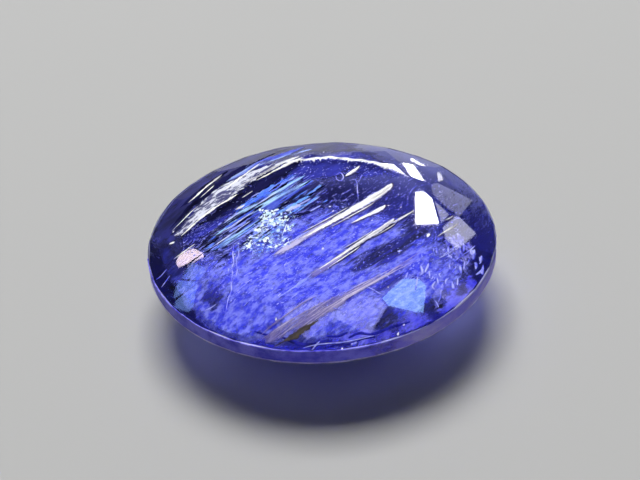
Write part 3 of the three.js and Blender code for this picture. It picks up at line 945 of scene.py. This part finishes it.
# --------------------
# The worn rim of the table: at the back, a ragged white line, partly chips from knocks and partly a
# painted highlight of the rim: a thin band along the edge, with teeth of random length on its inner side.
CHIPS_FROM, CHIPS_TO = math.radians(47), math.radians(112)
CHIP_STATIONS = 420
CHIP_SIDES = 8
CHIP_TEETH = 90
CHIP_END = 0.03
RIM_WIDTH, RIM_WAVE, RIM_WAVES = 0.13, 0.03, 40
LEAST_FACING = 0.2
table_top = stone_high.z / MM
corners = [(v.co.x / MM, v.co.y / MM) for v in cad_mesh.vertices if v.co.z / MM > table_top - 0.001]
corners = np.unique(np.round(corners, 4), axis=0)
corners = corners[np.argsort(np.arctan2(corners[:, 1], corners[:, 0]))]
sides = np.roll(corners, -1, axis=0) - corners
outward = np.stack([sides[:, 1], -sides[:, 0]], axis=-1) / np.linalg.norm(sides, axis=1)[:, None]

# The edge's distance in each direction: the nearest of the lines along the table's sides that face it.
bearing = np.linspace(CHIPS_FROM, CHIPS_TO, CHIP_STATIONS)
ray = np.stack([np.cos(bearing), np.sin(bearing)], axis=-1)
facing = ray @ outward.T
away = (outward * corners).sum(axis=1) / np.maximum(facing, LEAST_FACING)
edge_radius = np.where(facing > LEAST_FACING, away, np.inf).min(axis=1)

rng = np.random.default_rng(31)
lengths = rng.gamma(1.6, 0.05, CHIP_TEETH)
teeth = np.interp(bearing, np.linspace(CHIPS_FROM, CHIPS_TO, CHIP_TEETH), lengths)
swell = np.clip(np.minimum(bearing - CHIPS_FROM, CHIPS_TO - bearing) / CHIP_END, 0.05, 1)
inner = -(0.01 + 0.8 * teeth) * swell
outer = (RIM_WIDTH + RIM_WAVE * np.sin(RIM_WAVES * bearing)) * swell
angle = turn_angles(CHIP_SIDES)
radius = edge_radius[:, None] + (inner + outer)[:, None] / 2 + (outer - inner)[:, None] / 2 * np.cos(angle)
chip_depth = -0.006 + 0.02 * (1 - np.sin(angle)) + 0 * radius
# The white line: clay chips along the rim that also paint its highlight.
chips_and_highlight = under_crown(radius * ray[:, :1], radius * ray[:, 1:], chip_depth)
ring_piece("rim_chips_and_highlight", chips_and_highlight[None], clay)

# --------------------
# The girdle: its upright wall was only rough ground. Films over the wall in front paint its light and
# shade: painted shade at the left, a lighter painted glow at the right. A hair-thin pale thread on its
# lower edge is a painted highlight, and a dark one on its upper edge is painted shade over its highlight.
EDGE_STATIONS, EDGE_SIDES, EDGE_KNOTS = 260, 8, 70
SHADING_STATIONS, SHADING_SIDES = 300, 16
SHADING_THICKNESS = 0.008
SHADING_TIP = 0.3
walls = [p for p in cad_mesh.polygons if abs(p.normal.z) < 0.01]


def wall_edge(upper, bearing):
    """Points of the girdle wall's upper or lower edge in the directions given, by straight lines between
    the corners of the wall's flats."""
    ends = np.array([cad_mesh.vertices[i].co / MM for p in walls for i in p.vertices
                     if (cad_mesh.vertices[i].co.z > p.center.z) == upper])
    ends = np.unique(np.round(ends, 4), axis=0)
    turn = np.arctan2(ends[:, 1], ends[:, 0]) % (2 * math.pi)
    order = np.argsort(turn)
    return np.stack([np.interp(bearing, turn[order], ends[order, i]) for i in range(3)], axis=-1)


def straight_out(line):
    """Level unit vectors from the stone's axis towards the points of a line."""
    return line * (1, 1, 0) / np.hypot(line[:, :1], line[:, 1:2])


def edge_thread(upper, start, end, inset, least, most, seed):
    """Rings of a round thread on an edge of the girdle wall between two bearings in degrees, moved inwards
    by the inset, its radius by straight lines between random values."""
    line = wall_edge(upper, np.radians(np.linspace(start, end, EDGE_STATIONS)))
    out = straight_out(line)
    knots = np.random.default_rng(seed).uniform(least, most, EDGE_KNOTS)
    way = np.linspace(0, 1, EDGE_STATIONS)[:, None, None]
    radius = np.interp(way, np.linspace(0, 1, EDGE_KNOTS), knots)
    angle = turn_angles(EDGE_SIDES)[:, None]
    around = radius * (np.cos(angle) * out[:, None] + np.sin(angle) * (0, 0, 1))
    return ((line - inset * out)[:, None] + around)[None]


def wall_film(start, end, lift):
    """Rings of a thin film over the girdle wall between two bearings in degrees, its section a flat
    ellipse from edge to edge, lifted off the wall. Its fade falls to 0 over the tip, in radians, at both
    ends."""
    bearing = np.radians(np.linspace(start, end, SHADING_STATIONS))
    low, high = wall_edge(False, bearing), wall_edge(True, bearing)
    angle = turn_angles(SHADING_SIDES)[:, None]
    wall = (low + high)[:, None] / 2 + (high - low)[:, None] / 2 * np.sin(angle)
    rings = wall + straight_out(low)[:, None] * (lift + SHADING_THICKNESS / 2 * np.cos(angle))
    ends = np.clip(np.minimum(bearing - bearing[0], bearing[-1] - bearing) / SHADING_TIP, 0, 1)
    return rings[None], np.repeat(ends[None, :, None], SHADING_SIDES, axis=2)


# Side, bearings, lift, light tone, dark tone and cover: painted shade at the left, a painted lighter glow
# at the right. The right one overlaps the left and lies over it.
GIRDLE_LIGHT_AND_SHADE = (
    ("left", 172, 305, 0.002, (0.24, 0.22, 1.0), (0.08, 0.07, 0.75), 0.8),
    ("right", 285, 358, 0.011, (0.42, 0.37, 1.0), (0.22, 0.18, 1.0), 0.95),
)
# Painted light and shade on the girdle wall in front.
for side, start, end, lift, light, dark, cover in GIRDLE_LIGHT_AND_SHADE:
    thin_film = film(side + "_girdle_shading_film", light, dark, scale=1500, stretch=2, low=0.05, high=0.3, cover=cover)
    rings, fade = wall_film(start, end, lift)
    ring_piece(side + "_girdle_light_and_shade", rings, thin_film, fade)
# Painted highlight: a pale thread along the girdle's lower edge.
lower_highlight_paint = mineral("painted_lower_highlight", (0.95, 0.9, 1.0), (0.45, 0.4, 0.9), scale=1500)
ring_piece("lower_edge_highlight",
           edge_thread(upper=False, start=188, end=352, inset=0.0, least=0.012, most=0.03, seed=71), lower_highlight_paint)
# Painted shade: a dark thread along the girdle's upper edge that covers its highlight.
upper_shade_paint = mineral("painted_upper_edge_shade", (0.3, 0.28, 1.0), (0.06, 0.05, 0.55), scale=2500)
ring_piece("painted_upper_edge_shade",
           edge_thread(upper=True, start=185, end=290, inset=0.01, least=0.018, most=0.034, seed=72), upper_shade_paint)
